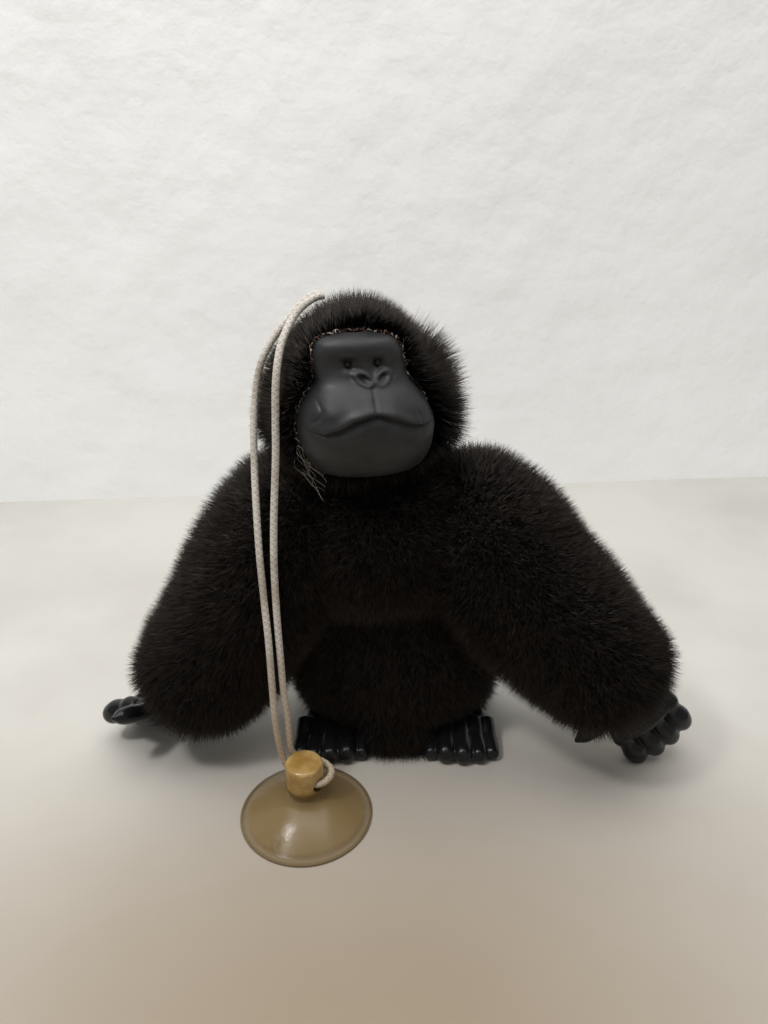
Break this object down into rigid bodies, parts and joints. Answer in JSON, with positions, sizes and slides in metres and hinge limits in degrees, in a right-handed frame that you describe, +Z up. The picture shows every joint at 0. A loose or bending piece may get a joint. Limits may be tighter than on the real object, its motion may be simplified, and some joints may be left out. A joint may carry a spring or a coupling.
{
  "type": "plush gorilla",
  "caption": "Seated plush gorilla in long dark fur with a moulded face, hands and feet, on a braided hanging loop with a suction cup.",
  "frame": {"origin": "middle of the flat seat, on the surface that the gorilla sits on", "axes": "+Z up, +X towards the gorilla's left, and the gorilla faces -Y"},
  "size_m": [0.1938, 0.0986, 0.1488],
  "materials": {
    "fur": "long soft pile with brown-grey tips",
    "wadding": "loose fibre",
    "vinyl": "matt moulded skin",
    "eye": "glossy bead",
    "thread": "sewing thread",
    "cord": "braided cotton-like cord",
    "cup": "clear soft plastic, yellowed with age"
  },
  "bodies": {
    "torso": {"torso_cover": "fur", "torso_stuffing": "wadding", "left_ankle_tie": "thread", "right_ankle_tie": "thread", "hang_cord": "cord", "suction_cup": "cup"},
    "head": {"head_cover": "fur", "head_stuffing": "wadding", "face_mask": "vinyl", "face_seam": "thread", "left_eye": "eye", "right_eye": "eye", "cord_knot": "cord"},
    "left_arm": {"left_arm_cover": "fur", "left_arm_stuffing": "wadding", "left_wrist_tie": "thread"},
    "left_hand": {"left_hand": "vinyl"},
    "right_arm": {"right_arm_cover": "fur", "right_arm_stuffing": "wadding", "right_wrist_tie": "thread"},
    "right_hand": {"right_hand": "vinyl"},
    "left_foot": {"left_foot": "vinyl"},
    "right_foot": {"right_foot": "vinyl"}
  },
  "joints": [
    {"name": "neck_turn", "type": "hinge", "parent": "torso", "child": "head", "pos_m": [-0.012, -0.008, 0.095], "axis": [0, 0, 1], "range_deg": [-12, 12]},
    {"name": "left_shoulder", "type": "hinge", "parent": "torso", "child": "left_arm", "pos_m": [0.0225, -0.006, 0.08], "axis": [-0.4226, -0.9063, 0], "range_deg": [0, 40]},
    {"name": "right_shoulder", "type": "hinge", "parent": "torso", "child": "right_arm", "pos_m": [-0.0315, -0.006, 0.08], "axis": [-0.2588, 0.9659, 0], "range_deg": [0, 12]},
    {"name": "left_wrist", "type": "hinge", "parent": "left_arm", "child": "left_hand", "pos_m": [0.06625, -0.0264, 0.03499], "axis": [0.5534, 0.2699, -0.788], "range_deg": [-40, 40]},
    {"name": "right_wrist", "type": "hinge", "parent": "right_arm", "child": "right_hand", "pos_m": [-0.06613, -0.01528, 0.02459], "axis": [-0.7071, 0, -0.7071], "range_deg": [-40, 40]},
    {"name": "left_ankle", "type": "hinge", "parent": "torso", "child": "left_foot", "pos_m": [0.0217, -0.008, 0.01], "axis": [0, 0, 1], "range_deg": [-5, 25]},
    {"name": "right_ankle", "type": "hinge", "parent": "torso", "child": "right_foot", "pos_m": [-0.0217, -0.008, 0.01], "axis": [0, 0, 1], "range_deg": [-25, 5]}
  ]
}
